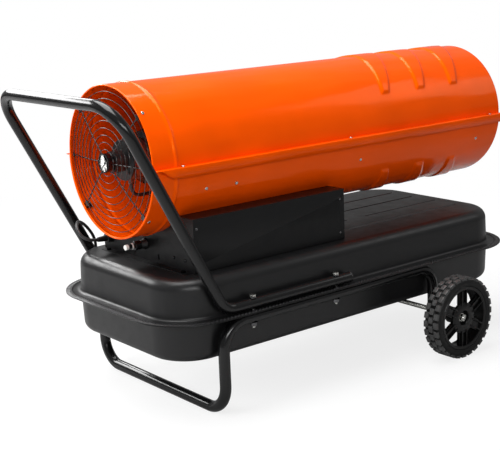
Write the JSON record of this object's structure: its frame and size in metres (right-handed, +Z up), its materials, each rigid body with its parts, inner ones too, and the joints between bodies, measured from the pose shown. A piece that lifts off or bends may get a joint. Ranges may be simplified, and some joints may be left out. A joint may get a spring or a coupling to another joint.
{
  "type": "forced air heater",
  "caption": "Wheeled direct-fired oil heater: barrel with fan, burner and chamber on a flat fuel tank with a bent-tube handle, floor loop and two wheels.",
  "frame": {"origin": "on the floor, at the centre of the rectangle that the heater covers without its cord", "axes": "+X along the barrel from the fan intake to the hot outlet, +Z up, so the side with the cord and the controls is +Y"},
  "size_m": [1.234, 0.738, 0.718],
  "materials": {
    "orange_paint": "glossy powder coat",
    "black_paint": "semi-gloss powder coat",
    "guard_wire": "satin black coat on wire",
    "zinc": "bright zinc plate",
    "tyre_rubber": "matt rubber",
    "wheel_plastic": "moulded, satin",
    "cap_plastic": "moulded",
    "black_plastic": "moulded",
    "seal_rubber": "smooth",
    "fuel_tube": "smooth",
    "motor_paint": "satin",
    "pump_metal": "cast and turned",
    "carbon": "sintered and carbon",
    "chamber_steel": "heat-resisting sheet",
    "brass": "turned",
    "ceramic": "glazed ceramic",
    "sensor": "moulded",
    "strainer_mesh": "fine mesh",
    "dial_glass": "clear",
    "needle_paint": "matt",
    "rocker_plastic": "moulded",
    "button_plastic": "translucent moulding",
    "bridge_plastic": "moulded"
  },
  "bodies": {
    "root": {"air_hose": "seal_rubber", "axle": "zinc", "axle_nuts": "zinc", "barrel_screws": "zinc", "burner_head": "chamber_steel", "chamber_brackets": "zinc", "combustion_chamber": "chamber_steel", "control_board": "sensor", "control_panel": "black_paint", "cord_coil": "seal_rubber", "cord_gland": "black_plastic", "cover_screws": "zinc", "fan_guard": "guard_wire", "filler_neck": "black_paint", "filler_strainer": "strainer_mesh", "flame_baffle": "chamber_steel", "flame_sensor": "sensor", "frame_tube": "black_paint", "fuel_line": "fuel_tube", "fuel_nozzle": "brass", "gauge_case": "black_plastic", "gauge_lens": "dial_glass", "handle_bolts": "zinc", "handle_nuts": "zinc", "handle_tube": "black_paint", "handle_washers": "zinc", "ignition_transformer": "sensor", "intake_panel": "black_paint", "lower_shell": "orange_paint", "mains_plug": "black_plastic", "motor": "motor_paint", "motor_bracket": "zinc", "near_cover": "black_paint", "outlet_panel": "black_paint", "panel_bolts": "zinc", "power_cord": "seal_rubber", "pump_body": "pump_metal", "pump_cover": "pump_metal", "reset_bushing": "black_plastic", "spark_electrodes": "ceramic", "switch_housing": "black_plastic", "tank_drain_plug": "zinc", "tank_lower": "black_paint", "tank_upper": "black_paint", "thermostat_socket": "black_plastic", "tube_end_plugs": "wheel_plastic", "upper_shell": "orange_paint"},
    "rotor": {"motor_shaft": "zinc", "fan": "black_plastic", "pump_rotor": "carbon"},
    "near_wheel": {"tyre_near": "tyre_rubber", "wheel_rim_near": "wheel_plastic"},
    "far_wheel": {"tyre_far": "tyre_rubber", "wheel_rim_far": "wheel_plastic"},
    "cap_lift": {"cap_seal": "seal_rubber"},
    "cap": {"filler_cap": "cap_plastic"},
    "rocker": {"rocker_switch": "rocker_plastic"},
    "reset": {"reset_button": "button_plastic"},
    "needle": {"gauge_needle": "needle_paint"},
    "bridge": {"bridge_plug": "bridge_plastic"}
  },
  "joints": [
    {"name": "fan_spin", "type": "hinge", "parent": "root", "child": "rotor", "pos_m": [-0.325, 0, 0.546], "axis": [1, 0, 0], "continuous": true},
    {"name": "near_wheel_spin", "type": "hinge", "parent": "root", "child": "near_wheel", "pos_m": [0.2785, -0.322, 0.1], "axis": [0, 1, 0], "continuous": true},
    {"name": "far_wheel_spin", "type": "hinge", "parent": "root", "child": "far_wheel", "pos_m": [0.2785, 0.322, 0.1], "axis": [0, 1, 0], "continuous": true},
    {"name": "cap_rise", "type": "slide", "parent": "root", "child": "cap_lift", "axis": [0, 0, 1], "range_m": [0, 0.006]},
    {"name": "cap_turn", "type": "hinge", "parent": "cap_lift", "child": "cap", "pos_m": [0.115, 0.14, 0.33], "axis": [0, 0, 1], "range_deg": [0, 720]},
    {"name": "rocker_tilt", "type": "hinge", "parent": "root", "child": "rocker", "pos_m": [-0.295, 0.177, 0.372], "axis": [1, 0, 0], "range_deg": [-16, 0]},
    {"name": "reset_press", "type": "slide", "parent": "root", "child": "reset", "axis": [0, -1, 0], "range_m": [0, 0.003], "stiffness_N_per_m": 400},
    {"name": "needle_swing", "type": "hinge", "parent": "root", "child": "needle", "pos_m": [-0.4856, 0, 0.546], "axis": [1, 0, 0], "range_deg": [0, 270], "stiffness_Nm_per_rad": 0.00002, "springref_deg": -57.3},
    {"name": "bridge_pull", "type": "slide", "parent": "root", "child": "bridge", "axis": [-1, 0, 0], "range_m": [0, 0.02]}
  ],
  "couplings": [
    {"joint": "cap_rise", "follows": "cap_turn", "m_per_rad": 0.0004774}
  ]
}
